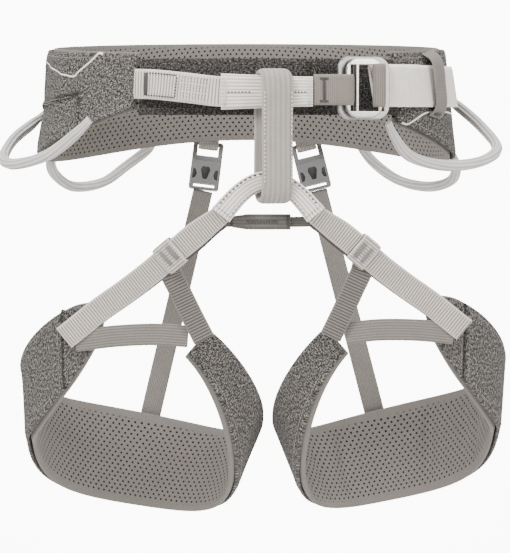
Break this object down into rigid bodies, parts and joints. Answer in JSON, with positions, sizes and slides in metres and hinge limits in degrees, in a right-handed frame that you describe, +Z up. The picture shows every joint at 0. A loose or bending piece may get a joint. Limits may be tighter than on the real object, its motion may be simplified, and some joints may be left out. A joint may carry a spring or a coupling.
{
  "type": "climbing harness",
  "caption": "Padded climbing harness with a buckled waist belt, belay loop, sleeved tie-in points, moulded gear loops and padded leg loops on elastic risers.",
  "frame": {"origin": "middle of the waist opening at the belt's mid height", "axes": "+Z up, +Y towards the wearer's back, +X to the right in a front view"},
  "size_m": [0.3586, 0.2519, 0.3488],
  "materials": {
    "heather_fabric": "matte woven",
    "dark_tongue": "matte woven",
    "lining": "soft perforated",
    "cream_webbing": "ribbed",
    "taupe_webbing": "ribbed",
    "elastic": "ribbed",
    "anchor_webbing": "ribbed",
    "gear_loop": "satin ridged",
    "clip_plastic": "satin",
    "polished_metal": "polished",
    "brushed_metal": "satin"
  },
  "bodies": {
    "waist": {"waist_shell": "heather_fabric", "waist_foam_lining": "lining", "front_tongue_left": "dark_tongue", "front_tongue_right": "dark_tongue", "structural_web": "cream_webbing", "upper_tie_in_sleeve": "cream_webbing", "buckle_anchor_web": "anchor_webbing", "buckle_rear_frame": "brushed_metal", "waist_load_strap": "cream_webbing", "waist_strap_tail": "cream_webbing", "tail_keeper": "elastic", "riser_tab_left": "taupe_webbing", "clip_plug_left": "clip_plastic", "clip_socket_left": "clip_plastic", "riser_elastic_left": "elastic", "riser_tab_right": "taupe_webbing", "clip_plug_right": "clip_plastic", "clip_socket_right": "clip_plastic", "riser_elastic_right": "elastic"},
    "buckle_front": {"buckle_front_frame": "polished_metal", "buckle_strap_wrap": "anchor_webbing"},
    "belay_loop": {"belay_loop": "taupe_webbing"},
    "tie_in_bridge": {"lower_tie_in_sleeve": "cream_webbing", "lower_tie_in_web": "cream_webbing", "leg_link_strap": "taupe_webbing", "leg_link_sleeve": "taupe_webbing"},
    "leg_loop_left": {"leg_pad_shell_left": "heather_fabric", "leg_foam_lining_left": "lining", "leg_outer_strap_left": "taupe_webbing", "leg_inner_strap_left": "taupe_webbing", "leg_elastic_left": "elastic"},
    "leg_keeper_left": {"leg_keeper_left": "taupe_webbing"},
    "clip_prong_left_a": {"clip_prong_left_a": "clip_plastic"},
    "clip_prong_left_b": {"clip_prong_left_b": "clip_plastic"},
    "leg_loop_right": {"leg_pad_shell_right": "heather_fabric", "leg_foam_lining_right": "lining", "leg_outer_strap_right": "taupe_webbing", "leg_inner_strap_right": "taupe_webbing", "leg_elastic_right": "elastic"},
    "leg_keeper_right": {"leg_keeper_right": "taupe_webbing"},
    "clip_prong_right_a": {"clip_prong_right_a": "clip_plastic"},
    "clip_prong_right_b": {"clip_prong_right_b": "clip_plastic"},
    "gear_loop_front_left": {"gear_loop_front_left": "gear_loop"},
    "gear_loop_front_right": {"gear_loop_front_right": "gear_loop"},
    "gear_loop_rear_left": {"gear_loop_rear_left": "gear_loop"},
    "gear_loop_rear_right": {"gear_loop_rear_right": "gear_loop"}
  },
  "joints": [
    {"name": "buckle_tilt", "type": "hinge", "parent": "waist", "child": "buckle_front", "pos_m": [0.07649, -0.11309, 0.007], "axis": [0, 0, -1], "range_deg": [0, 8]},
    {"name": "belay_turn", "type": "hinge", "parent": "waist", "child": "belay_loop", "pos_m": [0.0208, -0.1195, -0.0245], "axis": [0, 0, 1], "range_deg": [-31.5, 1.5]},
    {"name": "bridge_lift", "type": "slide", "parent": "waist", "child": "tie_in_bridge", "axis": [0, 0, 1], "range_m": [0, 0.006], "deforming": ["riser_elastic_left", "riser_elastic_right"]},
    {"name": "leg_left_spread", "type": "hinge", "parent": "tie_in_bridge", "child": "leg_loop_left", "pos_m": [-0.022, -0.1125, -0.077], "axis": [-0.1986, 0.729, -0.6551], "range_deg": [0, 18]},
    {"name": "leg_left_keeper_slide", "type": "slide", "parent": "leg_loop_left", "child": "leg_keeper_left", "axis": [-0.7327, 0.2714, -0.6241], "range_m": [-0.006, 0.006], "deforming": ["leg_inner_strap_left"]},
    {"name": "leg_right_spread", "type": "hinge", "parent": "tie_in_bridge", "child": "leg_loop_right", "pos_m": [0.05146, -0.1125, -0.07561], "axis": [-0.1936, -0.7332, 0.6519], "range_deg": [0, 18]},
    {"name": "leg_right_keeper_slide", "type": "slide", "parent": "leg_loop_right", "child": "leg_keeper_right", "axis": [0.7309, 0.2832, -0.6209], "range_m": [-0.006, 0.006], "deforming": ["leg_inner_strap_right"]},
    {"name": "gear_loop_front_left_lift", "type": "hinge", "parent": "waist", "child": "gear_loop_front_left", "pos_m": [-0.1306, -0.03155, -0.0185], "axis": [-0.3926, 0.9184, 0.0493], "range_deg": [-12, 20], "stiffness_Nm_per_rad": 0.15},
    {"name": "gear_loop_rear_left_lift", "type": "hinge", "parent": "waist", "child": "gear_loop_rear_left", "pos_m": [-0.107, 0.075, -0.0405], "axis": [0.7451, 0.66, 0.0958], "range_deg": [-12, 20], "stiffness_Nm_per_rad": 0.15},
    {"name": "gear_loop_front_right_lift", "type": "hinge", "parent": "waist", "child": "gear_loop_front_right", "pos_m": [0.12625, -0.027, -0.0115], "axis": [-0.3849, -0.9047, -0.1825], "range_deg": [-12, 20], "stiffness_Nm_per_rad": 0.15},
    {"name": "gear_loop_rear_right_lift", "type": "hinge", "parent": "waist", "child": "gear_loop_rear_right", "pos_m": [0.121, 0.062, -0.0385], "axis": [0.6887, -0.709, -0.1519], "range_deg": [-12, 20], "stiffness_Nm_per_rad": 0.15},
    {"name": "clip_left_prong_b_squeeze", "type": "hinge", "parent": "waist", "child": "clip_prong_left_b", "pos_m": [-0.02253, 0.11039, -0.04741], "axis": [-0.0212, 0.9848, -0.1723], "range_deg": [0, 7], "stiffness_Nm_per_rad": 0.02},
    {"name": "clip_left_prong_a_squeeze", "type": "hinge", "parent": "waist", "child": "clip_prong_left_a", "pos_m": [-0.03424, 0.11039, -0.04597], "axis": [-0.0212, 0.9848, -0.1723], "range_deg": [-7, 0], "stiffness_Nm_per_rad": 0.02},
    {"name": "clip_right_prong_b_squeeze", "type": "hinge", "parent": "waist", "child": "clip_prong_right_b", "pos_m": [0.05653, 0.10839, -0.04574], "axis": [0.042, 0.9848, -0.1685], "range_deg": [0, 7], "stiffness_Nm_per_rad": 0.02},
    {"name": "clip_right_prong_a_squeeze", "type": "hinge", "parent": "waist", "child": "clip_prong_right_a", "pos_m": [0.04508, 0.10839, -0.0486], "axis": [0.042, 0.9848, -0.1685], "range_deg": [-7, 0], "stiffness_Nm_per_rad": 0.02}
  ],
  "couplings": [
    {"joint": "clip_left_prong_a_squeeze", "follows": "clip_left_prong_b_squeeze", "ratio": -1},
    {"joint": "clip_right_prong_a_squeeze", "follows": "clip_right_prong_b_squeeze", "ratio": -1}
  ]
}
